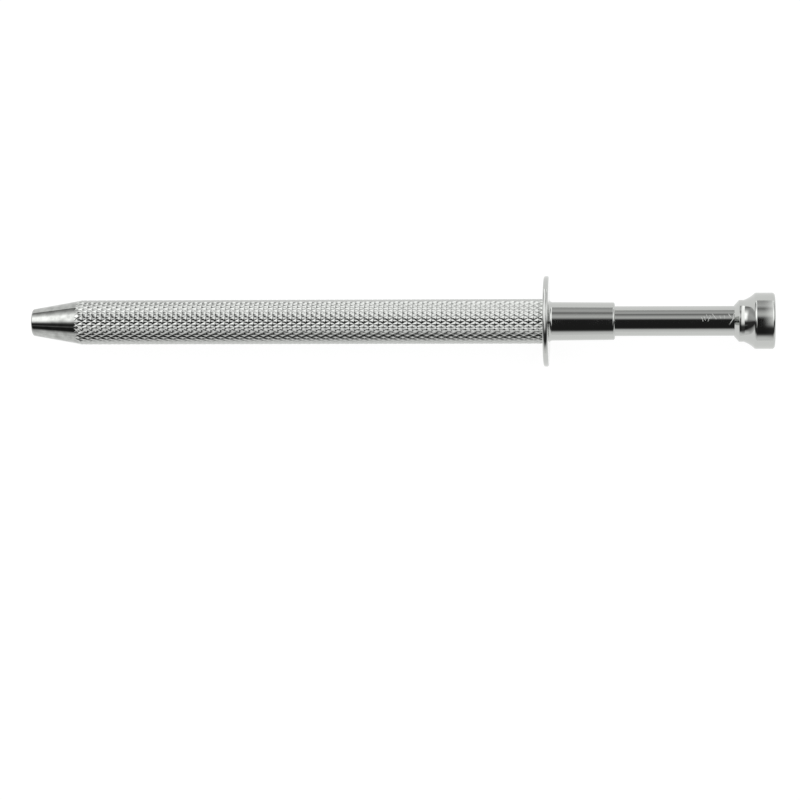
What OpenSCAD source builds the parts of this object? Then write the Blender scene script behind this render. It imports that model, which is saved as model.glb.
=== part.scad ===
// Four-claw pick-up tool: a knurled barrel with a push button that slides four
// spring-wire claws out of the nose. The axis of the tool is +X, from the nose to
// the button. The origin is on the axis, in the front face of the finger flange.

/* [Barrel] */
// Length of the barrel, from the tip of the nose to the flange
barrel_len = 82.9; // [70:0.1:100]
// Wall of the barrel around the spring, over the knurl
barrel_wall = 0.98; // [0.7:0.02:1.2]
// Length of the turned cone at the nose
nose_len = 8.1; // [6:0.1:11]
// Wall of the nose at its tip
tip_wall = 0.6; // [0.4:0.05:0.7]
// Rounding of the tip's outer edge
tip_round = 0.3; // [0.1:0.05:0.35]

/* [Finger flange] */
// Diameter of the finger flange
flange_d = 14.6; // [11:0.1:20]
// Thickness of the finger flange
flange_t = 0.85; // [0.6:0.05:1.5]
// Rounding of the flange's rim
flange_round = 0.22; // [0.05:0.01:0.28]
// Depth of the recess that centres the flange on the barrel
flange_recess = 0.1; // [0.05:0.01:0.15]

/* [Guide sleeve] */
// Length of the polished sleeve behind the flange
sleeve_len = 10.5; // [7:0.1:15]
// Wall of the sleeve where it meets the flange
sleeve_wall = 0.66; // [0.55:0.01:0.9]
// How much the sleeve's diameter falls towards its free end
sleeve_taper = 0.16; // [0:0.01:0.2]
// Rounding of the sleeve's free end
sleeve_round = 0.3; // [0.1:0.05:0.45]
// Length of the screwed spigot inside the barrel
spigot_len = 6; // [4:0.1:9]
// Wall of the screwed spigot
spigot_wall = 0.37; // [0.3:0.01:0.45]

/* [Plunger and button] */
// Outside diameter of the plunger tube
plunger_d = 4.8; // [4:0.1:6]
// Wall of the plunger tube
plunger_wall = 0.4; // [0.3:0.05:0.6]
// Travel of the plunger
stroke = 16; // [12:0.1:20]
// Gap left between the button and the sleeve when pressed right in
press_gap = 2.9; // [2:0.1:6]
// Length of the button
button_len = 6.4; // [5:0.1:9]
// Wall of the button's neck around the plunger tube
neck_wall = 0.95; // [0.7:0.05:1.3]
// Step from the neck out to the head of the button
head_step = 1.15; // [0.8:0.05:1.6]
// Length of the button's head
head_len = 3.2; // [2.8:0.1:4]
// Rounding of the head's edges
head_round = 0.35; // [0.1:0.05:0.5]

/* [Push rod and spring] */
// Diameter of the push rod
rod_d = 2; // [1.6:0.1:2.3]
// Length of the stop collar's shoulder
collar_len = 3; // [2:0.1:5]
// Length of the stop collar's plug inside the plunger tube
collar_plug_len = 3; // [2:0.1:5]
// Thickness of the washer that the spring stands on
seat_t = 1; // [0.6:0.1:2]
// Diameter of the spring's wire
spring_wire_d = 0.5; // [0.35:0.05:0.6]
// Number of turns in the spring
spring_turns = 22; // [16:1:28]

/* [Claws] */
// Diameter of a claw's wire
wire_d = 0.5; // [0.4:0.05:0.6]
// Gap between neighbouring wires in the ferrule
wire_gap = 0.14; // [0.1:0.01:0.25]
// Wall of the ferrule around the wires
ferrule_wall = 0.8; // [0.6:0.05:1]
// Length of the ferrule that holds the wires
ferrule_len = 5; // [4:0.1:8]
// Depth of each wire's hole in the ferrule
wire_hole_depth = 2.8; // [2:0.1:2.9]
// Length of a claw, from where it flexes to the front of its hook
claw_len = 12; // [10:0.1:14]
// Straight length of a claw before it bows outwards
claw_straight = 4.5; // [3:0.1:6]
// Radius of the hook's centre line
hook_r = 0.35; // [0.31:0.01:0.45]
// Gap from the hooks' ends to the axis
hook_gap = 0.3; // [0.25:0.01:0.4]
// How far the closed claws stay back inside the nose
claw_recess = 0.4; // [0.2:0.1:1]
// Length of nose that still covers the ferrule when pressed right in
ferrule_cover = 2.4; // [1.5:0.1:4]
// Gap between the ferrule and the spring's seat at rest
ferrule_gap = 2.2; // [1.2:0.1:4]

/* [Fits] */
// Radial clearance of the plunger tube in the sleeve
plunger_fit = 0.03; // [0.02:0.01:0.05]
// Radial clearance of the stop collar in the barrel
collar_fit = 0.05; // [0.03:0.01:0.08]
// Radial ledge by which the collar catches the sleeve
collar_ledge = 0.15; // [0.12:0.01:0.25]
// Radial clearance of the ferrule in the nose
ferrule_fit = 0.1; // [0.05:0.01:0.15]
// Radial clearance of the push rod in the spring's seat
rod_fit = 0.05; // [0.03:0.01:0.08]
// Radial clearance of pieces that are only located by each other
slack = 0.02; // [0.01:0.01:0.05]
// Radial clearance of the spring in the barrel
spring_gap = 0.25; // [0.1:0.05:0.4]
// Clearance between a closed claw's bow and the nose
bow_gap = 0.28; // [0.2:0.02:0.4]
// Depth of the threads' runout past the end of the spigot
thread_relief = 0.2; // [0.1:0.05:0.5]
// Gap between a resting piece and the stop in front of it
stop_gap = 0.05; // [0.02:0.01:0.1]

/* [Hidden] */
$fn = 96;
CLAWS = 4;
CLAW_NODES = [for (i = [1:CLAWS]) str("claw_", i)];

// Radii, from the plunger outwards
plunger_r = plunger_d / 2;
tube_bore_r = plunger_r - plunger_wall;
sleeve_bore_r = plunger_r + plunger_fit;
spigot_r = sleeve_bore_r + spigot_wall;
sleeve_r = sleeve_bore_r + sleeve_wall;
collar_r = plunger_r + collar_ledge;
bore_r = collar_r + collar_fit;
barrel_r = bore_r + barrel_wall;
flange_r = flange_d / 2;
rod_r = rod_d / 2;
neck_r = plunger_r + neck_wall;
head_r = neck_r + head_step;

// Radii, from the claws outwards
wire_r = wire_d / 2;
ring_r = (wire_d + wire_gap) / sqrt(2);
ferrule_r = ring_r + wire_r + ferrule_wall;
nose_bore_r = ferrule_r + ferrule_fit;
tip_r = nose_bore_r + tip_wall;

// Stations along the axis, from the flange to the button
barrel_end_x = flange_recess;
sleeve_x = flange_t;
sleeve_end_x = sleeve_x + sleeve_len;
spigot_x = -spigot_len;
thread_end_x = spigot_x - thread_relief;
button_x = sleeve_end_x + stroke + press_gap;
button_end_x = button_x + button_len;
head_x = button_end_x - head_len;
tube_end_x = button_x + 0.4 * button_len;
rod_end_x = button_end_x - 0.2 * button_len;

// Stations along the axis, from the flange to the nose
tip_x = -barrel_len;
nose_x = tip_x + nose_len;
claw_front_x = tip_x + claw_recess;
flex_x = claw_front_x + claw_len;
shank_len = stroke + ferrule_cover - claw_len - claw_recess;
ferrule_x = flex_x + shank_len;
ferrule_end_x = ferrule_x + ferrule_len;
wire_end_x = ferrule_x + wire_hole_depth;
socket_x = wire_end_x + 0.4;
step_x = ferrule_end_x + ferrule_gap;
seat_x = step_x + seat_t;
collar_end_x = spigot_x - stop_gap;
collar_x = collar_end_x - collar_len;

// The return spring between its seat and the stop collar
spring_x = seat_x + slack;
spring_end_x = collar_x - slack;
spring_r = bore_r - spring_gap - spring_wire_d / 2;
SPRING_SIDES = 6;
SPRING_STEPS = 12;
CLAW_SIDES = 12;

// Angle of each claw round the axis
function claw_angle(i) = 360 / CLAWS * (i - 0.5);

// Points of an arc with centre c, for a profile of [radius, station] pairs
function arc(c, r, a0, a1, steps = 6) =
    [for (i = [0:steps]) let (a = a0 + (a1 - a0) * i / steps) c + r * [cos(a), sin(a)]];

// A piece turned on the axis, from a closed profile of [radius, station] pairs
module turned(profile) {
    rotate([0, 90, 0])
        rotate_extrude()
            polygon(profile);
}

// A round pin along the axis, from station x0 to station x1
module pin(r, x0, x1) {
    translate([x0, 0, 0])
        rotate([0, 90, 0])
            cylinder(r = r, h = x1 - x0);
}

module barrel() {
    mouth_chamfer = 0.1;
    color("silver")
        turned(concat(
            [
                [nose_bore_r + mouth_chamfer, tip_x],
                [nose_bore_r, tip_x + mouth_chamfer],
                [nose_bore_r, step_x],
                [bore_r, step_x],
                [bore_r, thread_end_x],
                [spigot_r, thread_end_x],
                [spigot_r, barrel_end_x],
                [barrel_r, barrel_end_x],
                [barrel_r, nose_x]
            ],
            arc([tip_r - tip_round, tip_x + tip_round], tip_round, 0, -90)
        ));
}

module finger_flange() {
    seat_r = barrel_r + slack;
    rim_r = flange_r - flange_round;
    color("gainsboro")
        turned(concat(
            [
                [spigot_r + slack, flange_t],
                [spigot_r + slack, flange_recess],
                [seat_r, flange_recess],
                [seat_r, 0]
            ],
            arc([rim_r, flange_round], flange_round, -90, 0),
            arc([rim_r, flange_t - flange_round], flange_round, 0, 90)
        ));
}

module guide_sleeve() {
    end_r = sleeve_r - sleeve_taper / 2;
    color("gainsboro")
        turned(concat(
            [
                [sleeve_bore_r, sleeve_end_x],
                [sleeve_bore_r, spigot_x],
                [spigot_r, spigot_x],
                [spigot_r, sleeve_x],
                [sleeve_r, sleeve_x]
            ],
            arc([end_r - sleeve_round, sleeve_end_x - sleeve_round], sleeve_round, 0, 90)
        ));
}

module spring_seat() {
    color("goldenrod")
        turned([
            [rod_r + rod_fit, step_x],
            [bore_r - collar_fit, step_x],
            [bore_r - collar_fit, seat_x],
            [rod_r + rod_fit, seat_x]
        ]);
}

// Centre of the spring's wire after a number of turns: the first and the last turn
// lie flat on the seat and the collar, and the turns between them are evenly open.
function spring_point(turn) =
    let (
        low = spring_x + spring_wire_d / 2,
        high = spring_end_x - spring_wire_d / 2,
        flat = spring_wire_d * 1.05,
        open = (high - low - 2 * flat) / (spring_turns - 2),
        x = turn < 1 ? low + flat * turn
            : turn > spring_turns - 1 ? high - flat * (spring_turns - turn)
            : low + flat + open * (turn - 1)
    )
    [x, spring_r * cos(360 * turn), spring_r * sin(360 * turn)];

// A round wire swept through a list of points. Each point has a unit vector, out and
// side, that spans the wire's round section there; radii taper the wire at its ends.
module swept_wire(points, outs, sides, radii, faces) {
    rings = len(points) - 1;
    skin = [
        for (i = [0:rings], j = [0:faces - 1])
            let (a = 360 / faces * (j + 0.5))
            points[i] + radii[i] * (cos(a) * sides[i] + sin(a) * outs[i])
    ];
    walls = [
        for (i = [0:rings - 1], j = [0:faces - 1])
            let (k = (j + 1) % faces, a = i * faces, b = a + faces)
            each [[a + j, b + j, b + k], [a + j, b + k, a + k]]
    ];
    ends = [
        [for (j = [0:faces - 1]) j],
        [for (j = [faces - 1:-1:0]) rings * faces + j]
    ];
    polyhedron(skin, concat(walls, ends));
}

module return_spring() {
    rings = spring_turns * SPRING_STEPS;
    turns = [for (i = [0:rings]) i / SPRING_STEPS];
    color("dimgray")
        swept_wire(
            [for (t = turns) spring_point(t)],
            [for (t = turns) [0, cos(360 * t), sin(360 * t)]],
            [for (t = turns) [1, 0, 0]],
            [for (t = turns) spring_wire_d / 2],
            SPRING_SIDES
        );
}

module plunger_tube() {
    color("gainsboro")
        turned([
            [tube_bore_r, collar_end_x],
            [plunger_r, collar_end_x],
            [plunger_r, tube_end_x],
            [tube_bore_r, tube_end_x]
        ]);
}

module thumb_button() {
    land = 0.1;
    cone_len = 0.7;
    neck_end_x = head_x - 1.7;
    flare = [head_r - 0.07 - neck_r, head_x - neck_end_x];
    flare_start = 19.5;
    flare_turn = 2 * (atan2(flare[0], flare[1]) - flare_start);
    flare_r = norm(flare) / (2 * sin(flare_turn / 2));
    flare_c = [neck_r, neck_end_x] + flare_r * [cos(flare_start), -sin(flare_start)];
    color("gainsboro")
        turned(concat(
            [
                [0, button_end_x],
                [0, rod_end_x],
                [rod_r, rod_end_x],
                [rod_r, tube_end_x],
                [plunger_r, tube_end_x],
                [plunger_r, button_x],
                [plunger_r + land, button_x],
                [neck_r, button_x + cone_len]
            ],
            arc(flare_c, flare_r, 180 - flare_start, 180 - flare_start - flare_turn, 8),
            [[head_r, head_x + 1]],
            arc([head_r - head_round, button_end_x - head_round], head_round, 0, 90)
        ));
}

module push_rod() {
    chamfer = 0.2;
    color("lightsteelblue")
        turned([
            [0, socket_x],
            [rod_r - chamfer, socket_x],
            [rod_r, socket_x + chamfer],
            [rod_r, rod_end_x - 2 * chamfer],
            [rod_r - chamfer, rod_end_x - chamfer],
            [0, rod_end_x - chamfer]
        ]);
}

module stop_collar() {
    color("goldenrod")
        turned([
            [rod_r, collar_x],
            [collar_r, collar_x],
            [collar_r, collar_end_x],
            [tube_bore_r, collar_end_x],
            [tube_bore_r, collar_end_x + collar_plug_len],
            [rod_r, collar_end_x + collar_plug_len]
        ]);
}

// Sets its children at every wire's place round the axis
module at_claw(i) {
    rotate([claw_angle(i), 0, 0])
        translate([0, ring_r, 0])
            children();
}

module claw_ferrule() {
    chamfer = 0.3;
    color("goldenrod")
        difference() {
            turned([
                [0, ferrule_x],
                [ferrule_r - chamfer, ferrule_x],
                [ferrule_r, ferrule_x + chamfer],
                [ferrule_r, ferrule_end_x],
                [rod_r, ferrule_end_x],
                [rod_r, socket_x],
                [0, socket_x]
            ]);
            for (i = [1:CLAWS])
                at_claw(i)
                    pin(wire_r, ferrule_x - 1, wire_end_x);
        }
}

module claw_shanks() {
    color("slategray")
        for (i = [1:CLAWS])
            at_claw(i)
                pin(wire_r, flex_x + wire_r + slack, wire_end_x);
}

// Stations of a claw's wire in the plane z = 0, as [x, y, heading, radius]. It starts at
// the flexing end, runs straight to -X, bows outwards to +Y and hooks in to the axis.
function claw_path() =
    let (
        rise = nose_bore_r - wire_r - bow_gap - ring_r,
        run = claw_len - claw_straight - hook_r - wire_r,
        bow_r = (run * run + rise * rise) / (2 * rise),
        bow_turn = atan2(run, bow_r - rise),
        hook_x = -claw_straight - run - hook_r * sin(bow_turn),
        hook_y = rise - hook_r * cos(bow_turn),
        end_x = hook_x - hook_r,
        end_y = hook_gap + wire_r - ring_r,
        dome = [25, 50, 75]
    )
    concat(
        [for (i = [2:-1:0]) [wire_r * sin(dome[i]), 0, 180, wire_r * cos(dome[i])]],
        [[0, 0, 180, wire_r], [-claw_straight, 0, 180, wire_r]],
        [
            for (i = [1:6])
                let (t = bow_turn * i / 6)
                [-claw_straight - bow_r * sin(t), bow_r * (1 - cos(t)), 180 - t, wire_r]
        ],
        [
            for (i = [1:8])
                let (t = (90 + bow_turn) * i / 8 - bow_turn)
                [hook_x - hook_r * sin(t), hook_y + hook_r * cos(t), 180 + t, wire_r]
        ],
        [[end_x, end_y, 270, wire_r]],
        [for (t = dome) [end_x, end_y - wire_r * sin(t), 270, wire_r * cos(t)]]
    );

// One spring-wire claw, with both of its ends rounded over
module claw_wire() {
    path = claw_path();
    swept_wire(
        [for (p = path) [p[0], p[1], 0]],
        [for (p = path) [sin(p[2]), -cos(p[2]), 0]],
        [for (p = path) [0, 0, 1]],
        [for (p = path) p[3]],
        CLAW_SIDES
    );
}

module claw(i) {
    color("slategray")
        at_claw(i)
            translate([flex_x, 0, 0])
                claw_wire();
}

barrel();
finger_flange();
guide_sleeve();
spring_seat();
return_spring();
plunger_tube();
thumb_button();
push_rod();
stop_collar();
claw_ferrule();
claw_shanks();
for (i = [1:CLAWS])
    claw(i);
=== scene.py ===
import math

import bmesh
import bpy
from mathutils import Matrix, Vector


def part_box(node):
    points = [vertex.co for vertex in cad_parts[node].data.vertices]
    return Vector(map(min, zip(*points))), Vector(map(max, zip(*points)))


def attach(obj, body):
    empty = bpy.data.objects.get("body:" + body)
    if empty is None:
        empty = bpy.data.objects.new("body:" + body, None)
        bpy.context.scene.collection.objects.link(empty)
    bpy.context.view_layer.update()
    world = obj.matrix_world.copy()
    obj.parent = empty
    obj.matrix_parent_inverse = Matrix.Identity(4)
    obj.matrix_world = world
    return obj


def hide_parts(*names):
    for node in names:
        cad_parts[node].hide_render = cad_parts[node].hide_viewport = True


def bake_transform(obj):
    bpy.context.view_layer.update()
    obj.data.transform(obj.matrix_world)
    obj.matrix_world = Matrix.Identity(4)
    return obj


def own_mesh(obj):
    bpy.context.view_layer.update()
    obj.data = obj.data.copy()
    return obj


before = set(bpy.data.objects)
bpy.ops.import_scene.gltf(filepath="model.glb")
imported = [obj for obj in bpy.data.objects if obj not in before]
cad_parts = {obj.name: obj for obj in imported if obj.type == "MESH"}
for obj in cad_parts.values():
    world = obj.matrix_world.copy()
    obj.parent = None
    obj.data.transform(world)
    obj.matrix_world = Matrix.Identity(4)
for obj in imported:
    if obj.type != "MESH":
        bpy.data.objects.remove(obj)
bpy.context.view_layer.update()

# ---------------------------------------------------------------------------
# Knurled barrel
# One length of tube, rolled with a diamond knurl, bored for the spring and then
# turned to a cone at the nose, where the knurl runs out. Plated bright all over.
# ---------------------------------------------------------------------------

MM = 0.001
barrel_low, barrel_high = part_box("barrel")
BARREL_R = barrel_high[2]
TIP_X = barrel_low[0]
BARREL_END_X = barrel_high[0]
NOSE_LEN = 8.1 * MM
TIP_R = 2.2 * MM
TIP_ROUND = 0.3 * MM
MOUTH_ROUND = 0.08 * MM
NOSE_BORE_R = 1.6 * MM
BORE_R = 2.6 * MM
SPRING_STEP_X = -57.3 * MM
SPIGOT_R = 2.8 * MM
THREAD_END_X = -6.2 * MM

# Grooves each way round, then a diamond's length and depth. The width of its flanks and the
# rounding of its crest are shares of the diamond.
KNURL_STARTS = 24
KNURL_PITCH = 1.548 * MM
KNURL_DEPTH = 0.135 * MM
KNURL_FLANK = 0.33
KNURL_ROUND = 0.015
CREST_CLEAR = 0.2 * MM


def rounded(corners, steps=5):
    """A turned profile from its (station, radius, rounding) corners, in order round it."""
    points = []
    for i, (x, r, rounding) in enumerate(corners):
        here = Vector((x, r))
        if rounding <= 0:
            points.append((x, r))
            continue
        back = (Vector(corners[i - 1][:2]) - here).normalized()
        on = (Vector(corners[(i + 1) % len(corners)][:2]) - here).normalized()
        half = back.angle(on) / 2
        centre = here + (back + on).normalized() * rounding / math.sin(half)
        first = here + back * rounding / math.tan(half)
        last = here + on * rounding / math.tan(half)
        for k in range(steps + 1):
            chord = first.lerp(last, k / steps) - centre
            spot = centre + chord.normalized() * rounding
            points.append((spot.x, spot.y))
    return points


def turned(name, profile, facets=160):
    """A piece turned on the tool's axis from a closed profile of (station, radius) points."""
    work = bmesh.new()
    rings = []
    for x, r in profile:
        turns = [2 * math.pi * i / facets for i in range(facets)] if r > 1e-7 else [0]
        rings.append([work.verts.new((x, r * math.cos(t), r * math.sin(t))) for t in turns])
    for near, far in zip(rings, rings[1:] + rings[:1]):
        if len(near) == 1 and len(far) == 1:
            continue
        for i in range(facets):
            j = i + 1
            corners = [near[i % len(near)], near[j % len(near)]]
            corners += [far[j % len(far)], far[i % len(far)]]
            work.faces.new(dict.fromkeys(corners))
    bmesh.ops.recalc_face_normals(work, faces=work.faces)
    return into_scene(name, work)


def into_scene(name, work):
    """Makes an object of a finished bmesh."""
    mesh = bpy.data.meshes.new(name)
    work.to_mesh(mesh)
    work.free()
    piece = bpy.data.objects.new(name, mesh)
    bpy.context.scene.collection.objects.link(piece)
    return piece


def shade(piece, sharp_degrees=35.0):
    """Shades a piece smooth, with its flats kept flat and its sharper edges kept crisp."""
    piece.data.shade_smooth()
    piece.data.set_sharp_from_angle(angle=math.radians(sharp_degrees))
    even = piece.modifiers.new("even", "WEIGHTED_NORMAL")
    even.keep_sharp = True
    settle(piece)


def settle(piece):
    """Applies the modifiers of a piece to its mesh."""
    shown = piece.evaluated_get(bpy.context.evaluated_depsgraph_get())
    mesh = bpy.data.meshes.new_from_object(shown)
    piece.modifiers.clear()
    piece.data = mesh


def knurled_bar(low_x, high_x):
    """A closed bar with a diamond knurl, longer than the barrel at both of its ends."""
    root_r = BARREL_R - KNURL_DEPTH
    first_row = math.floor(2 * low_x / KNURL_PITCH)
    rows = math.ceil(2 * (high_x - low_x) / KNURL_PITCH) + 1
    work = bmesh.new()

    def spot(x, turn, r):
        angle = 2 * math.pi * turn / KNURL_STARTS
        return work.verts.new((x, r * math.cos(angle), r * math.sin(angle)))

    # Rows of groove crossings, half a pitch apart, each row shifted by half a diamond
    crossings = []
    for row in range(rows + 1):
        shift = 0.5 * ((first_row + row) % 2)
        x = (first_row + row) * KNURL_PITCH / 2
        crossings.append([spot(x, k + shift, root_r) for k in range(KNURL_STARTS)])

    # A diamond's flanks end in a ring of eight points, then its crest is rounded over
    rings = [
        (KNURL_FLANK - KNURL_ROUND, KNURL_DEPTH * KNURL_ROUND / KNURL_FLANK),
        (KNURL_FLANK + KNURL_ROUND, 0.0),
    ]
    for row in range(rows - 1):
        odd = (first_row + row) % 2
        mid_x = (first_row + row + 1) * KNURL_PITCH / 2
        for k in range(KNURL_STARTS):
            corners = [
                crossings[row][k],
                crossings[row + 1][(k + odd) % KNURL_STARTS],
                crossings[row + 2][k],
                crossings[row + 1][(k + odd - 1) % KNURL_STARTS],
            ]
            mid_turn = k + 0.5 * odd
            loops = []
            for inset, depth in rings:
                half = 0.5 - inset
                near = half - KNURL_ROUND
                loop = []
                for su, sv in ((-1, -1), (1, -1), (1, 1), (-1, 1)):
                    ends = [(su * near, sv * half), (su * half, sv * near)]
                    for u, v in ends if su * sv < 0 else ends[::-1]:
                        x = mid_x + (u + v) * KNURL_PITCH / 2
                        loop.append(spot(x, mid_turn + (u - v) / 2, BARREL_R - depth))
                loops.append(loop)
            outer, inner = loops
            crest = spot(mid_x, mid_turn, BARREL_R)
            for c in range(4):
                first, second, third = outer[2 * c], outer[2 * c + 1], outer[(2 * c + 2) % 8]
                work.faces.new((corners[c], first, second))
                work.faces.new((corners[c], second, third, corners[(c + 1) % 4]))
            for i in range(8):
                j = (i + 1) % 8
                work.faces.new((outer[i], inner[i], inner[j], outer[j]))
                work.faces.new((inner[i], crest, inner[j]))

    # Plain ends, beyond the length that is kept
    for row, side in ((0, -1), (rows, 1)):
        odd = (first_row + row) % 2
        x = (first_row + row + side) * KNURL_PITCH / 2
        cap = [spot(x, k + 0.5 * odd, root_r) for k in range(KNURL_STARTS)]
        for k in range(KNURL_STARTS):
            j = (k + 1) % KNURL_STARTS
            here, there = crossings[row][k], crossings[row][j]
            work.faces.new((here, crossings[row - side][(k + odd) % KNURL_STARTS], there))
            work.faces.new((here, there, cap[j], cap[k]))
        work.faces.new(cap)
    bmesh.ops.recalc_face_normals(work, faces=work.faces)
    return into_scene("knurled_bar", work)


cone_x = TIP_X + NOSE_LEN
cone_rise = (BARREL_R - TIP_R) / (NOSE_LEN - TIP_ROUND)
barrel = turned(
    "knurled_barrel",
    rounded(
        [
            (TIP_X, NOSE_BORE_R, MOUTH_ROUND),
            (SPRING_STEP_X, NOSE_BORE_R, 0),
            (SPRING_STEP_X, BORE_R, 0),
            (THREAD_END_X, BORE_R, 0),
            (THREAD_END_X, SPIGOT_R, 0),
            (BARREL_END_X, SPIGOT_R, 0),
            (BARREL_END_X, BARREL_R + CREST_CLEAR, 0),
            (cone_x + CREST_CLEAR / cone_rise, BARREL_R + CREST_CLEAR, 0),
            (TIP_X, BARREL_R - NOSE_LEN * cone_rise, TIP_ROUND),
        ]
    ),
    facets=192,
)
bar = knurled_bar(TIP_X - MM, BARREL_END_X + MM)
cut = barrel.modifiers.new("knurl", "BOOLEAN")
cut.operation = "INTERSECT"
cut.solver = "EXACT"
cut.object = bar
settle(barrel)
bpy.data.objects.remove(bar)
shade(barrel, sharp_degrees=15.0)


class Finish:
    """A metal finish and the nodes that vary it, in the piece's own coordinates."""

    def __init__(self, name, colour, roughness):
        self.material = bpy.data.materials.new(name)
        self.material.use_nodes = True
        self.nodes = self.material.node_tree.nodes
        self.links = self.material.node_tree.links
        self.shader = self.nodes["Principled BSDF"]
        self.shader.inputs["Metallic"].default_value = 1.0
        self.shader.inputs["Base Color"].default_value = (*colour, 1.0)
        self.shader.inputs["Roughness"].default_value = roughness
        self.colour = colour
        self.place = self.add("TexCoord").outputs["Object"]
        self.bumps = None

    def add(self, kind, **settings):
        """A new node of the finish."""
        node = self.nodes.new("ShaderNode" + kind)
        for key, value in settings.items():
            setattr(node, key, value)
        return node

    def maths(self, operation, a, b=0.0):
        """A sum on two numbers or sockets."""
        node = self.add("Math", operation=operation)
        for socket, value in zip(node.inputs, (a, b)):
            if isinstance(value, (int, float)):
                socket.default_value = value
            else:
                self.links.new(value, socket)
        return node.outputs[0]

    def spread(self, value, low, high, to_low, to_high):
        """Carries a value from one range to another, held at the ends."""
        node = self.add("MapRange")
        self.links.new(value, node.inputs["Value"])
        limits = {"From Min": low, "From Max": high, "To Min": to_low, "To Max": to_high}
        for key, limit in limits.items():
            node.inputs[key].default_value = limit
        return node.outputs["Result"]

    def along(self, axis):
        """The piece's coordinate along one axis."""
        split = self.add("SeparateXYZ")
        self.links.new(self.place, split.inputs[0])
        return split.outputs[axis]

    def radius(self):
        """Distance from the tool's axis."""
        y2 = self.maths("POWER", self.along("Y"), 2.0)
        z2 = self.maths("POWER", self.along("Z"), 2.0)
        return self.maths("SQRT", self.maths("ADD", y2, z2))

    def noise(self, length, width=None):
        """A noise whose spots have this length along the tool and this width across it."""
        width = width or length
        place = self.add("Mapping", vector_type="TEXTURE")
        self.links.new(self.place, place.inputs["Vector"])
        place.inputs["Scale"].default_value = (length, width, width)
        node = self.add("TexNoise")
        self.links.new(place.outputs["Vector"], node.inputs["Vector"])
        node.inputs["Scale"].default_value = 1.0
        node.inputs["Detail"].default_value = 3.0
        return node.outputs["Fac"]

    def tooling(self, pitch):
        """Fine rings left by a lathe tool: they change along the axis and the radius only."""
        join = self.add("CombineXYZ")
        self.links.new(self.along("X"), join.inputs["X"])
        self.links.new(self.radius(), join.inputs["Y"])
        node = self.add("TexNoise")
        self.links.new(join.outputs[0], node.inputs["Vector"])
        node.inputs["Scale"].default_value = 1 / pitch
        return node.outputs["Fac"]

    def rough(self, value):
        """Gives the finish a roughness that varies."""
        self.links.new(value, self.shader.inputs["Roughness"])

    def dull(self, value, dark):
        """Mixes the colour towards a darker one by a value from 0 to 1."""
        node = self.add("Mix", data_type="RGBA")
        node.inputs["A"].default_value = (*self.colour, 1.0)
        node.inputs["B"].default_value = (*dark, 1.0)
        self.links.new(value, node.inputs["Factor"])
        self.links.new(node.outputs["Result"], self.shader.inputs["Base Color"])

    def bump(self, height, depth):
        """Adds a relief of a real depth to the surface."""
        node = self.add("Bump")
        node.inputs["Distance"].default_value = depth
        node.inputs["Strength"].default_value = 1.0
        self.links.new(height, node.inputs["Height"])
        if self.bumps:
            self.links.new(self.bumps, node.inputs["Normal"])
        self.bumps = node.outputs["Normal"]
        self.links.new(self.bumps, self.shader.inputs["Normal"])


def finish(piece, look, body, slot, *nodes):
    """Gives a piece its finish and ties it to the frame."""
    piece.data.materials.clear()
    piece.data.materials.append(look.material)
    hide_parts(*nodes)
    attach(piece, body)


PLATE = (0.51, 0.52, 0.505)
# A darker plate colour, painted into the knurl's grooves as shade, with some grime
PLATE_GROOVE_SHADE = (0.26, 0.265, 0.255)
PLATE_ROUGH = 0.06
KNURL_ROUGH = (0.03, 0.065)
# Painted shade and grime: near the roots of the knurl's grooves the plate is mixed towards the
# darker colour in mottled patches, standing in for the shade that falls in the grooves
GROOVE_SHADE_AND_GRIME = (0.1, 0.75)
GROOVE_SHADE_TOP_R = BARREL_R - 0.6 * KNURL_DEPTH
knurl_plate = Finish("knurled_plate", PLATE, PLATE_ROUGH)
groove = knurl_plate.spread(knurl_plate.radius(), BARREL_R - KNURL_DEPTH, GROOVE_SHADE_TOP_R, 1.0, 0.0)
mottle = knurl_plate.noise(1.1 * MM)
groove_shade_and_grime = knurl_plate.spread(mottle, 0.35, 0.7, *GROOVE_SHADE_AND_GRIME)
knurl_plate.dull(knurl_plate.maths("MULTIPLY", groove, groove_shade_and_grime), PLATE_GROOVE_SHADE)
knurl_plate.rough(knurl_plate.spread(mottle, 0.3, 0.7, *KNURL_ROUGH))
knurl_plate.bump(knurl_plate.noise(0.3 * MM), 0.0006 * MM)
finish(barrel, knurl_plate, "barrel", "knurled_plate", "barrel")

# ---------------------------------------------------------------------------
# Spring seat
# A brass washer dropped down the barrel on to the step behind the nose. The
# spring stands on it, and the push rod slides through its hole.
# ---------------------------------------------------------------------------

ROD_R = 1.0 * MM
SEAT_HOLE_R = ROD_R + 0.05 * MM
SEAT_HOLE_ROUND = 0.06 * MM
SEAT_ROUND = 0.15 * MM
seat_low, seat_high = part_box("spring_seat")
seat = turned(
    "seat_washer",
    rounded(
        [
            (seat_low[0], SEAT_HOLE_R, SEAT_HOLE_ROUND),
            (seat_low[0], seat_high[2], SEAT_ROUND),
            (seat_high[0], seat_high[2], SEAT_ROUND),
            (seat_high[0], SEAT_HOLE_R, SEAT_HOLE_ROUND),
        ]
    ),
    facets=96,
)
shade(seat)
BRASS = (0.72, 0.52, 0.25)
BRASS_DIM = (0.40, 0.27, 0.13)
BRASS_ROUGH = (0.14, 0.36)
LATHE_DEPTH = 0.004 * MM


def turned_brass(name, pitch):
    """Brass as it comes off the lathe: plain tool rings, and a little tarnish in patches."""
    look = Finish(name, BRASS, 0.2)
    tarnish = look.noise(0.9 * MM)
    look.dull(look.spread(tarnish, 0.45, 0.75, 0.0, 0.8), BRASS_DIM)
    look.rough(look.spread(tarnish, 0.3, 0.75, *BRASS_ROUGH))
    look.bump(look.tooling(pitch), LATHE_DEPTH)
    return look


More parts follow.
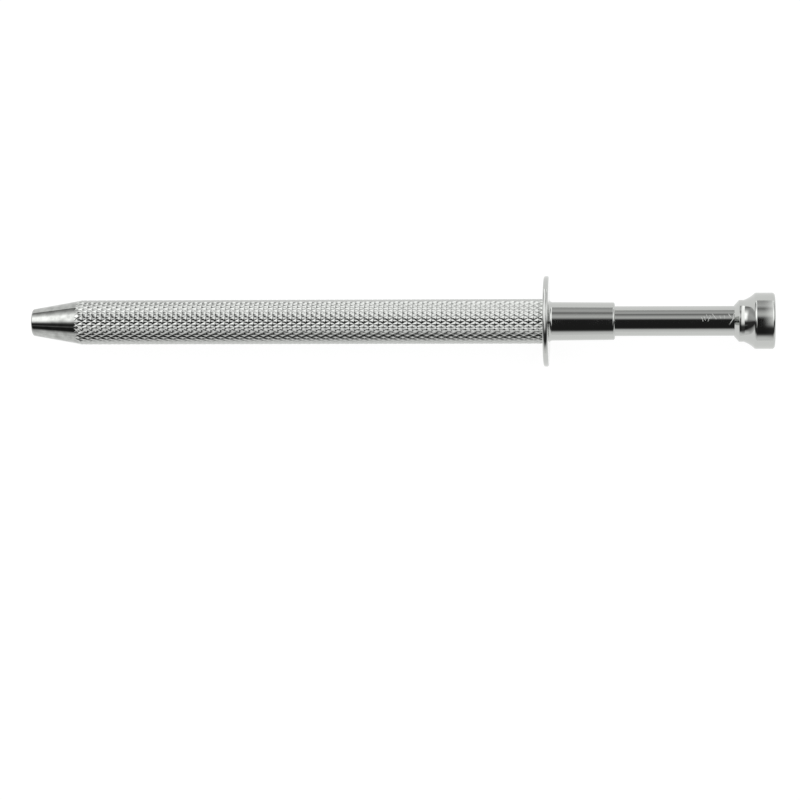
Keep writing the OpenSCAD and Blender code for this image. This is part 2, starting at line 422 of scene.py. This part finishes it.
seat_brass = turned_brass("seat_brass", 0.06 * MM)
finish(seat, seat_brass, "barrel", "brass", "spring_seat")

# ---------------------------------------------------------------------------
# Return spring
# Compression spring of drawn steel wire, its last turn closed at each end. It
# stands in the barrel round the rod and pushes the claws home when let go.
# ---------------------------------------------------------------------------

spring_low, spring_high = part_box("return_spring")
SPRING_WIRE_R = 0.25 * MM
SPRING_TURNS = 22
COIL_STEPS = 40
CLOSED_PITCH = 2.1 * SPRING_WIRE_R
coil_r = spring_high[2] - SPRING_WIRE_R


def swept(name, path, sides=12):
    """Round wire along a path of (point, radius), closed at its two ends."""
    work = bmesh.new()
    rings = []
    side = None
    for i, (point, radius) in enumerate(path):
        ahead = (path[min(i + 1, len(path) - 1)][0] - path[max(i - 1, 0)][0]).normalized()
        if side is None:
            side = ahead.orthogonal()
        side = (side - ahead * side.dot(ahead)).normalized()
        other = ahead.cross(side)
        ring = []
        for k in range(sides):
            turn = 2 * math.pi * k / sides
            outward = side * math.cos(turn) + other * math.sin(turn)
            ring.append(work.verts.new(point + radius * outward))
        rings.append(ring)
    for near, far in zip(rings, rings[1:]):
        for k in range(sides):
            work.faces.new((near[k], near[(k + 1) % sides], far[(k + 1) % sides], far[k]))
    work.faces.new(rings[0])
    work.faces.new(rings[-1])
    bmesh.ops.recalc_face_normals(work, faces=work.faces)
    return into_scene(name, work)


def coil(turn):
    """The centre of the spring's wire after that many turns."""
    middle = min(max(turn - 1, 0), SPRING_TURNS - 2)
    long = spring_high[0] - spring_low[0] - 2 * SPRING_WIRE_R
    open_pitch = (long - 2 * CLOSED_PITCH) / (SPRING_TURNS - 2)
    x = spring_low[0] + SPRING_WIRE_R + open_pitch * middle + CLOSED_PITCH * (turn - middle)
    angle = 2 * math.pi * turn
    return Vector((x, coil_r * math.cos(angle), coil_r * math.sin(angle)))


spring = swept(
    "coil_spring",
    [(coil(i / COIL_STEPS), SPRING_WIRE_R) for i in range(SPRING_TURNS * COIL_STEPS + 1)],
)
shade(spring, sharp_degrees=50.0)
STEEL = (0.50, 0.51, 0.52)
STEEL_DIM = (0.22, 0.21, 0.20)
SPRING_ROUGH = (0.2, 0.38)
spring_steel = Finish("drawn_spring_steel", STEEL, 0.25)
scale_spots = spring_steel.noise(0.7 * MM, 0.5 * MM)
spring_steel.dull(spring_steel.spread(scale_spots, 0.4, 0.7, 0.0, 0.7), STEEL_DIM)
spring_steel.rough(spring_steel.spread(scale_spots, 0.3, 0.7, *SPRING_ROUGH))
finish(spring, spring_steel, "barrel", "spring_wire", "return_spring")
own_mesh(spring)

# ---------------------------------------------------------------------------
# Stop collar
# Brass collar pressed on the rod and into the end of the plunger tube. Its
# shoulder takes the spring's push and stops against the guide sleeve.
# ---------------------------------------------------------------------------

collar_low, collar_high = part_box("stop_collar")
tube_low, tube_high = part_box("plunger_tube")
TUBE_BORE_R = 2.0 * MM
COLLAR_FRONT_ROUND = 0.2 * MM
COLLAR_BACK_ROUND = 0.12 * MM
COLLAR_SPIGOT_ROUND = 0.15 * MM
collar = turned(
    "brass_collar",
    rounded(
        [
            (collar_low[0], ROD_R, 0),
            (collar_low[0], collar_high[2], COLLAR_FRONT_ROUND),
            (tube_low[0], collar_high[2], COLLAR_BACK_ROUND),
            (tube_low[0], TUBE_BORE_R, 0),
            (collar_high[0], TUBE_BORE_R, COLLAR_SPIGOT_ROUND),
            (collar_high[0], ROD_R, 0),
        ]
    ),
    facets=96,
)
shade(collar)
collar_brass = turned_brass("collar_brass", 0.08 * MM)
finish(collar, collar_brass, "plunger", "brass", "stop_collar")

# ---------------------------------------------------------------------------
# Push rod
# Straight ground steel rod, from the thumb button down through the plunger,
# the collar and the spring to the ferrule. It is pressed into both its ends.
# ---------------------------------------------------------------------------

rod_low, rod_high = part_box("push_rod")
ROD_END_ROUND = 0.18 * MM
ROD_ROUGH = (0.1, 0.26)
GRAIN_DEPTH = 0.001 * MM
rod = turned(
    "ground_rod",
    rounded(
        [
            (rod_low[0], 0, 0),
            (rod_low[0], ROD_R, ROD_END_ROUND),
            (rod_high[0], ROD_R, ROD_END_ROUND),
            (rod_high[0], 0, 0),
        ]
    ),
    facets=64,
)
shade(rod)
rod_steel = Finish("ground_steel", STEEL, 0.16)
rod_lines = rod_steel.noise(6 * MM, 0.06 * MM)
rod_steel.rough(rod_steel.spread(rod_lines, 0.3, 0.7, *ROD_ROUGH))
rod_steel.bump(rod_lines, GRAIN_DEPTH)
finish(rod, rod_steel, "plunger", "rod_steel", "push_rod")

# ---------------------------------------------------------------------------
# Claw ferrule
# Small brass barrel that carries the four wires. Its rear end is rolled into
# a groove round the rod, and the wires are soldered into its front.
# ---------------------------------------------------------------------------

ferrule_low, ferrule_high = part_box("claw_ferrule")
FERRULE_R = ferrule_high[2]
FERRULE_ROUND = 0.12 * MM
FERRULE_CONE = 0.3 * MM
FERRULE_CONE_ROUND = 0.1 * MM
FERRULE_FRONT_ROUND = 0.08 * MM
ROLL_X = -60.4 * MM
ROLL_WIDE = 0.35 * MM
ROLL_DEEP = 0.16 * MM
ROLL_ROUND = 0.15 * MM
ROLL_EDGE_ROUND = 0.08 * MM
ferrule = turned(
    "wire_ferrule",
    rounded(
        [
            (ferrule_low[0], 0, 0),
            (rod_low[0], 0, 0),
            (rod_low[0], ROD_R, 0),
            (ferrule_high[0], ROD_R, 0),
            (ferrule_high[0], FERRULE_R, FERRULE_ROUND),
            (ROLL_X + ROLL_WIDE, FERRULE_R, ROLL_EDGE_ROUND),
            (ROLL_X, FERRULE_R - ROLL_DEEP, ROLL_ROUND),
            (ROLL_X - ROLL_WIDE, FERRULE_R, ROLL_EDGE_ROUND),
            (ferrule_low[0] + FERRULE_CONE, FERRULE_R, FERRULE_CONE_ROUND),
            (ferrule_low[0], FERRULE_R - FERRULE_CONE, FERRULE_FRONT_ROUND),
        ]
    ),
    facets=96,
)
shade(ferrule)
ferrule_brass = turned_brass("ferrule_brass", 0.05 * MM)
finish(ferrule, ferrule_brass, "plunger", "brass", "claw_ferrule")

# ---------------------------------------------------------------------------
# Claw wires
# Four lengths of bright spring wire. Each one runs out of the ferrule, bows
# outwards, and is hooked in at its end. The nose holds all four closed.
# ---------------------------------------------------------------------------

CLAWS = 4
WIRE_R = 0.25 * MM
WIRE_END_X = -61.7 * MM
RING_R = 0.4525 * MM
FLEX_X = -70.5 * MM
STRAIGHT = 4.5 * MM
BOW_RUN = 6.9 * MM
BOW_RISE = 0.62 * MM
HOOK_R = 0.35 * MM
HOOK_END_R = 0.55 * MM
STRAIGHT_STEPS = 30
BOW_STEPS = 16
HOOK_STEPS = 14
TIP_STEPS = 6
TIP_DEGREES = 88
CLAW_ROUGH = (0.07, 0.2)


def claw_line():
    """(station, distance from the axis, wire radius) along a claw wire."""
    bow_r = (BOW_RUN**2 + BOW_RISE**2) / (2 * BOW_RISE)
    bow_turn = math.atan2(BOW_RUN, bow_r - BOW_RISE)
    bow_x = FLEX_X - STRAIGHT
    straight_run = WIRE_END_X - bow_x
    line = [(WIRE_END_X, RING_R, WIRE_R)]
    for i in range(1, STRAIGHT_STEPS + 1):
        line.append((WIRE_END_X - straight_run * i / STRAIGHT_STEPS, RING_R, WIRE_R))
    for i in range(1, BOW_STEPS + 1):
        turn = bow_turn * i / BOW_STEPS
        out = RING_R + bow_r * (1 - math.cos(turn))
        line.append((bow_x - bow_r * math.sin(turn), out, WIRE_R))
    hook_x = bow_x - BOW_RUN - HOOK_R * math.sin(bow_turn)
    hook_out = RING_R + BOW_RISE - HOOK_R * math.cos(bow_turn)
    for i in range(1, HOOK_STEPS + 1):
        turn = (math.pi / 2 + bow_turn) * i / HOOK_STEPS - bow_turn
        out = hook_out + HOOK_R * math.cos(turn)
        line.append((hook_x - HOOK_R * math.sin(turn), out, WIRE_R))
    line.append((hook_x - HOOK_R, HOOK_END_R, WIRE_R))
    for i in range(1, TIP_STEPS + 1):
        turn = math.radians(TIP_DEGREES * i / TIP_STEPS)
        out = HOOK_END_R - WIRE_R * math.sin(turn)
        line.append((hook_x - HOOK_R, out, WIRE_R * math.cos(turn)))
    return line


claw_steel = Finish("bright_spring_steel", STEEL, 0.1)
wire_marks = claw_steel.noise(1.5 * MM, 0.08 * MM)
claw_steel.rough(claw_steel.spread(wire_marks, 0.3, 0.7, *CLAW_ROUGH))
claw_steel.bump(wire_marks, GRAIN_DEPTH)
for number in range(1, CLAWS + 1):
    angle = math.radians(90 * number - 45)
    outward = Vector((0, math.cos(angle), math.sin(angle)))
    wire = swept(
        f"claw_wire_{number}",
        [(Vector((x, 0, 0)) + outward * r, radius) for x, r, radius in claw_line()],
        sides=20,
    )
    shade(wire, sharp_degrees=50.0)
    wire.data.materials.append(claw_steel.material)
    if number == 1:
        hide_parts("claw_1", "claw_shanks")
    else:
        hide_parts(f"claw_{number}")
    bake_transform(wire)

# ---------------------------------------------------------------------------
# Finger flange
# A thin disc, turned and rounded over at its rim, which the guide sleeve clamps
# against the end of the barrel. Two fingers pull on it against the thumb.
# ---------------------------------------------------------------------------

flange_low, flange_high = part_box("finger_flange")
FLANGE_R = flange_high[2]
FLANGE_T = flange_high[0]
FLANGE_ROUND = 0.32 * MM
FLANGE_RIM_DROP = 0.045 * MM
FIT_CLEAR = 0.02 * MM
SEAT_R = BARREL_R + FIT_CLEAR
SLEEVE_HOLE_R = SPIGOT_R + FIT_CLEAR

flange = turned(
    "flange_disc",
    rounded(
        [
            (0, SEAT_R, 0),
            (BARREL_END_X, SEAT_R, 0),
            (BARREL_END_X, SLEEVE_HOLE_R, 0),
            (FLANGE_T, SLEEVE_HOLE_R, 0),
            (FLANGE_T, FLANGE_R, FLANGE_ROUND),
            (0, FLANGE_R - FLANGE_RIM_DROP, FLANGE_ROUND),
        ],
        steps=8,
    ),
    facets=256,
)
shade(flange)
TURNED_ROUGH = (0.035, 0.10)
PLATED_RING_DEPTH = 0.0008 * MM


def turned_plate(name, pitch):
    """Bright plate over a turned surface: faint tool rings, and small changes in its gloss."""
    look = Finish(name, PLATE, PLATE_ROUGH)
    cloud = look.noise(2.4 * MM)
    look.rough(look.spread(cloud, 0.3, 0.75, *TURNED_ROUGH))
    look.bump(look.tooling(pitch), PLATED_RING_DEPTH)
    return look


flange_plate = turned_plate("flange_plate", 0.05 * MM)
finish(flange, flange_plate, "barrel", "bright_plate", "finger_flange")

# ---------------------------------------------------------------------------
# Guide sleeve
# A polished bush screwed into the barrel. It clamps the flange, guides the
# plunger, and stops the collar inside. It tapers a little to its free end.
# ---------------------------------------------------------------------------

sleeve_low, sleeve_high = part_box("guide_sleeve")
SLEEVE_R = sleeve_high[2]
SLEEVE_TAPER = 0.08 * MM
SLEEVE_END_X = sleeve_high[0]
SPIGOT_X = sleeve_low[0]
SPIGOT_ROUND = 0.1 * MM
SLEEVE_BORE_R = 2.43 * MM
SLEEVE_BORE_ROUND = 0.1 * MM
SLEEVE_ROUND = 0.32 * MM
SHOULDER_LEN = 0.55 * MM
SHOULDER_RISE = 0.5 * MM
SHOULDER_STEPS = 8

# A hollow fillet where the sleeve meets the flange
shoulder = []
for i in range(SHOULDER_STEPS + 1):
    turn = math.radians(90 * i / SHOULDER_STEPS)
    shoulder.append((
        FLANGE_T + SHOULDER_LEN * (1 - math.sin(turn)),
        SLEEVE_R + SHOULDER_RISE * (1 - math.cos(turn)),
        0,
    ))
sleeve = turned(
    "screwed_sleeve",
    rounded(
        [
            (SLEEVE_END_X, SLEEVE_BORE_R, SLEEVE_BORE_ROUND),
            (SPIGOT_X, SLEEVE_BORE_R, 0),
            (SPIGOT_X, SPIGOT_R, SPIGOT_ROUND),
            (FLANGE_T, SPIGOT_R, 0),
        ]
        + shoulder[::-1]
        + [(SLEEVE_END_X, SLEEVE_R - SLEEVE_TAPER, SLEEVE_ROUND)],
        steps=7,
    ),
    facets=192,
)
shade(sleeve)
sleeve_plate = turned_plate("sleeve_plate", 0.09 * MM)
finish(sleeve, sleeve_plate, "barrel", "bright_plate", "guide_sleeve")

# ---------------------------------------------------------------------------
# Plunger tube
# Drawn tube, plated bright, that slides in the sleeve. Fingernails and the
# press that seats the button leave short scratches near the button.
# ---------------------------------------------------------------------------

TUBE_R = tube_high[2]
TUBE_FRONT_ROUND = 0.1 * MM
TUBE_BACK_ROUND = 0.05 * MM
TUBE_ROUGH = 0.05
SCRATCH_ROUGH = 0.41
tube = turned(
    "sliding_tube",
    rounded(
        [
            (tube_low[0], TUBE_BORE_R, 0),
            (tube_low[0], TUBE_R, TUBE_FRONT_ROUND),
            (tube_high[0], TUBE_R, TUBE_BACK_ROUND),
            (tube_high[0], TUBE_BORE_R, 0),
        ]
    ),
)
shade(tube)
tube_plate = Finish("drawn_plate", PLATE, PLATE_ROUGH)
draw_lines = tube_plate.noise(9 * MM, 0.12 * MM)
tube_plate.bump(draw_lines, 0.0006 * MM)


def scratch(look, start, end, width):
    """1 on a straight scratch between two (x, y) points, seen from above, and 0 off it."""
    here = look.add("CombineXYZ")
    look.links.new(look.along("X"), here.inputs["X"])
    look.links.new(look.along("Y"), here.inputs["Y"])
    from_start = look.add("VectorMath", operation="SUBTRACT")
    look.links.new(here.outputs[0], from_start.inputs[0])
    from_start.inputs[1].default_value = (*start, 0)
    run = Vector(end) - Vector(start)
    part = look.add("VectorMath", operation="DOT_PRODUCT")
    look.links.new(from_start.outputs[0], part.inputs[0])
    part.inputs[1].default_value = (*(run / run.length_squared), 0)
    held = look.spread(part.outputs["Value"], 0, 1, 0, 1)
    nearest = look.add("VectorMath", operation="SCALE")
    nearest.inputs[0].default_value = (*run, 0)
    look.links.new(held, nearest.inputs["Scale"])
    gap = look.add("VectorMath", operation="DISTANCE")
    look.links.new(from_start.outputs[0], gap.inputs[0])
    look.links.new(nearest.outputs[0], gap.inputs[1])
    cut, edge = 0.1 * width, 1.3 * width
    return look.spread(gap.outputs["Value"], cut, edge, 1.0, 0.0)


# Scratches near the button: (x, y) at both ends and width, in millimetres
SCRATCHES = [
    (25.05, 0.50, 25.30, -0.10, 0.07), (25.45, 0.60, 25.65, 0.05, 0.06),
    (25.80, 0.95, 26.05, 0.45, 0.05), (26.05, -0.10, 26.30, 0.45, 0.07),
    (26.35, 0.90, 26.55, 0.30, 0.05), (26.75, 1.05, 27.35, 0.25, 0.07),
    (27.90, 0.75, 28.10, 0.35, 0.05), (28.60, 0.80, 28.75, 0.30, 0.05),
    (29.35, 1.00, 29.60, 0.60, 0.09), (29.40, -0.70, 30.10, 0.35, 0.11),
    (30.00, 0.30, 30.20, 1.15, 0.08),
]
marks = None
for x0, y0, x1, y1, width in SCRATCHES:
    mark = scratch(tube_plate, (x0 * MM, y0 * MM), (x1 * MM, y1 * MM), width * MM)
    marks = tube_plate.maths("MAXIMUM", marks, mark) if marks else mark

# The scratches are on the upper side only, rubbed away in places, and rougher than the plate
upper_side = tube_plate.spread(tube_plate.along("Z"), 0, 0.1 * MM, 0, 1)
rubbed = tube_plate.spread(tube_plate.noise(0.5 * MM, 0.16 * MM), 0.5, 0.8, 1.0, 0.55)
marks = tube_plate.maths("MULTIPLY", marks, upper_side)
marks = tube_plate.maths("MULTIPLY", marks, rubbed)
tube_plate.rough(tube_plate.spread(marks, 0, 1, TUBE_ROUGH, SCRATCH_ROUGH))
finish(tube, tube_plate, "plunger", "bright_plate", "plunger_tube")

# ---------------------------------------------------------------------------
# Thumb button
# Turned from bar: a short neck with a coned front, a hollow flare, and a plain
# head with rounded edges. Pressed on to the plunger tube and plated with it.
# ---------------------------------------------------------------------------

button_low, button_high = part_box("thumb_button")
BUTTON_X = button_low[0]
BUTTON_END_X = button_high[0]
HEAD_R = button_high[2]
HEAD_X = BUTTON_END_X - 3.2 * MM
HEAD_LIP = 0.25 * MM
HEAD_LIP_RISE = 0.07 * MM
HEAD_ROUND = 0.45 * MM
FLARE_LEN = 1.7 * MM
FLARE_START_DEGREES = 19.5
FLARE_STEPS = 12
NECK_R = 3.35 * MM
NECK_END_X = HEAD_X - FLARE_LEN
NECK_CONE_LEN = 0.75 * MM
NECK_ROUND = 0.12 * MM
NECK_LIP = 0.12 * MM
NECK_LIP_ROUND = 0.05 * MM
NECK_BORE_ROUND = 0.04 * MM
TUBE_SEAT_X = tube_high[0]
ROD_SEAT_X = BUTTON_END_X - 1.28 * MM


def flare():
    """The hollow curve from the neck out to the head."""
    span = Vector((HEAD_X - NECK_END_X, HEAD_R - HEAD_LIP_RISE - NECK_R))
    start = math.radians(FLARE_START_DEGREES)
    sweep = 2 * (math.atan2(span.y, span.x) - start)
    radius = span.length / (2 * math.sin(sweep / 2))
    points = []
    for i in range(FLARE_STEPS + 1):
        turn = start + sweep * i / FLARE_STEPS
        points.append((
            NECK_END_X + radius * (math.sin(turn) - math.sin(start)),
            NECK_R + radius * (math.cos(start) - math.cos(turn)),
            0,
        ))
    return points


button = turned(
    "flared_button",
    rounded(
        [
            (BUTTON_END_X, 0, 0),
            (ROD_SEAT_X, 0, 0),
            (ROD_SEAT_X, ROD_R, 0),
            (TUBE_SEAT_X, ROD_R, 0),
            (TUBE_SEAT_X, TUBE_R, 0),
            (BUTTON_X, TUBE_R, NECK_BORE_ROUND),
            (BUTTON_X, TUBE_R + NECK_LIP, NECK_LIP_ROUND),
            (BUTTON_X + NECK_CONE_LEN, NECK_R, NECK_ROUND),
        ]
        + flare()
        + [
            (HEAD_X + HEAD_LIP, HEAD_R, HEAD_ROUND),
            (BUTTON_END_X, HEAD_R, HEAD_ROUND),
        ],
        steps=7,
    ),
    facets=224,
)
shade(button)
button_plate = turned_plate("button_plate", 0.06 * MM)
finish(button, button_plate, "plunger", "bright_plate", "thumb_button")

# ---------------------------------------------------------------------------
# Stage
# A white table just under the flange, a pale backdrop, a room of soft lights,
# and a camera above that stands a little towards the thumb button.
# ---------------------------------------------------------------------------

TABLE_HALF = 3.0
TABLE_LIGHT = 0.95
TABLE_GREY = 0.1
BACKDROP_R = 2.5
BACKDROP_LIGHT = 0.96


def glow(name, grey, light):
    """A flat matt surface that gives off its own white light."""
    material = bpy.data.materials.new(name)
    material.use_nodes = True
    shader = material.node_tree.nodes["Principled BSDF"]
    shader.inputs["Base Color"].default_value = (grey, grey, grey, 1)
    shader.inputs["Roughness"].default_value = 1.0
    shader.inputs["Specular IOR Level"].default_value = 0.0
    shader.inputs["Emission Color"].default_value = (1, 1, 1, 1)
    shader.inputs["Emission Strength"].default_value = light
    return material


table_work = bmesh.new()
bmesh.ops.create_grid(table_work, x_segments=8, y_segments=8, size=TABLE_HALF)
table = into_scene("floor", table_work)
table.location = (0, 0, -FLANGE_R)
table.data.materials.append(glow("white_table", TABLE_GREY, TABLE_LIGHT))

# The backdrop stands all round, and only the camera sees it
backdrop_work = bmesh.new()
bmesh.ops.create_icosphere(backdrop_work, subdivisions=4, radius=BACKDROP_R)
backdrop = into_scene("backdrop", backdrop_work)
backdrop.data.materials.append(glow("pale_backdrop", 0.0, BACKDROP_LIGHT))
for sight in ("diffuse", "glossy", "transmission", "volume_scatter", "shadow"):
    setattr(backdrop, "visible_" + sight, False)

# Brightness of the room by the angle round the tool's axis, in degrees from straight up and
# positive to -Y. LEVEL is straight out from the tool: light walls, a seam between two panels
# and a dark gap overhead. NEAR and FAR lean towards its ends and have soft boxes beside the
# gap, and END is the dim room past its ends.
LEVEL = [
    (-180, 0.95), (-117, 0.92), (-106, 0.80), (-97, 0.60), (-88, 0.49), (-80, 0.49),
    (-73, 0.55), (-62, 0.64), (-55, 0.42), (-49, 0.20), (-42, 0.39), (-36, 0.55),
    (-29, 0.68), (-23, 0.70), (-17, 0.49), (-11, 0.13), (-5, 0.02), (54, 0.02),
    (61, 0.10), (68, 0.56), (76, 0.85), (110, 0.95), (180, 0.95),
]
NEAR = [
    (-180, 0.95), (-125, 0.90), (-112, 1.40), (-100, 1.90), (-80, 1.85), (-60, 1.65),
    (-18, 1.55), (-2, 1.50), (8, 1.30), (18, 0.90), (27, 0.25), (34, 0.05),
    (56, 0.05), (66, 0.30), (75, 0.65), (84, 0.92), (180, 0.95),
]
FAR = [
    (-180, 0.95), (-124, 0.94), (-100, 0.43), (-88, 0.20), (-71, 0.55), (-55, 1.20),
    (-47, 1.70), (-40, 2.10), (-16, 2.05), (-4, 1.20), (3, 0.45), (10, 0.08), (15, 0.03),
    (24, 0.03), (29, 0.16), (36, 0.02), (56, 0.02), (66, 0.47), (75, 0.83), (180, 0.95),
]
END = [
    (-180, 0.95), (-110, 0.60), (-70, 0.45), (-40, 0.60), (-10, 0.50), (4, 0.20), (12, 0.04),
    (50, 0.03), (62, 0.25), (90, 0.80), (180, 0.95),
]

# Each part with how far endwise, from 0 to 1, it starts to take over and has taken over
ROOM_PARTS = ((NEAR, 0.07, 0.16), (FAR, 0.37, 0.43), (END, 0.68, 0.80))
ROOM_STRENGTH = 3.0
world = bpy.data.worlds.new("studio")
bpy.context.scene.world = world
world.use_nodes = True
sky = world.node_tree


def sky_node(kind, inputs, **settings):
    """A node of the sky with its inputs set to numbers or linked to sockets."""
    node = sky.nodes.new("ShaderNode" + kind)
    for key, value in settings.items():
        setattr(node, key, value)
    for key, value in inputs.items():
        if isinstance(value, bpy.types.NodeSocket):
            sky.links.new(value, node.inputs[key])
        else:
            node.inputs[key].default_value = value
    return node


def sky_ramp(share, lights):
    """Brightness of a part of the room by the share of a full turn, over the room's strength."""
    node = sky_node("ValToRGB", {"Fac": share})
    stops = node.color_ramp.elements
    while len(stops) < len(lights):
        stops.new(0.5)
    for stop, (degrees, light) in zip(stops, lights):
        stop.position = (degrees + 180) / 360
        grey = light / ROOM_STRENGTH
        stop.color = (grey, grey, grey, 1)
    return node.outputs["Color"]


def sky_share(value, low, high):
    """0 to 1 as a value goes from low to high, held at both ends."""
    limits = {"Value": value, "From Min": low, "From Max": high}
    return sky_node("MapRange", limits).outputs[0]


look_at = sky_node("TexCoord", {}).outputs["Generated"]
way = sky_node("SeparateXYZ", {0: look_at}).outputs
front = sky_node("Math", {0: way["Y"], 1: -1.0}, operation="MULTIPLY").outputs[0]
angle = sky_node("Math", {0: front, 1: way["Z"]}, operation="ARCTAN2").outputs[0]
share = sky_share(angle, -math.pi, math.pi)
endwise = sky_node("Math", {0: way["X"]}, operation="ABSOLUTE").outputs[0]
room = sky_ramp(share, LEVEL)
for part, starts, full in ROOM_PARTS:
    reach = sky_share(endwise, starts, full)
    mix = {"Fac": reach, "Color1": room, "Color2": sky_ramp(share, part)}
    room = sky_node("MixRGB", mix).outputs[0]
sky.links.new(room, sky.nodes["Background"].inputs["Color"])
sky.nodes["Background"].inputs["Strength"].default_value = ROOM_STRENGTH

LAMP_SIZE = 1.2
LAMP_WATTS = 3.0
LAMP_AT = (-0.1, 0.35, 1.1)
lamp_data = bpy.data.lights.new("soft_above", "AREA")
lamp_data.size = LAMP_SIZE
lamp_data.energy = LAMP_WATTS
lamp = bpy.data.objects.new("soft_above", lamp_data)
bpy.context.scene.collection.objects.link(lamp)
lamp.location = LAMP_AT
lamp.rotation_euler = (-lamp.location).to_track_quat("-Z", "Y").to_euler()
lamp.visible_glossy = False

CAMERA_AWAY = 450 * MM
CAMERA_TILT = math.radians(5.0)
CAMERA_AIM = Vector((-23.1 * MM, -12.59 * MM, 0))
CAMERA_LENS = 126
camera_data = bpy.data.cameras.new("camera")
camera_data.sensor_width = 36
camera_data.lens = CAMERA_LENS
camera_data.clip_start = 0.01
camera = bpy.data.objects.new("camera", camera_data)
bpy.context.scene.collection.objects.link(camera)
lean = Vector((math.sin(CAMERA_TILT), 0, math.cos(CAMERA_TILT)))
camera.location = CAMERA_AIM + CAMERA_AWAY * lean
camera.rotation_euler = (0, CAMERA_TILT, 0)
bpy.context.scene.camera = camera
bpy.context.scene.view_settings.view_transform = "Standard"
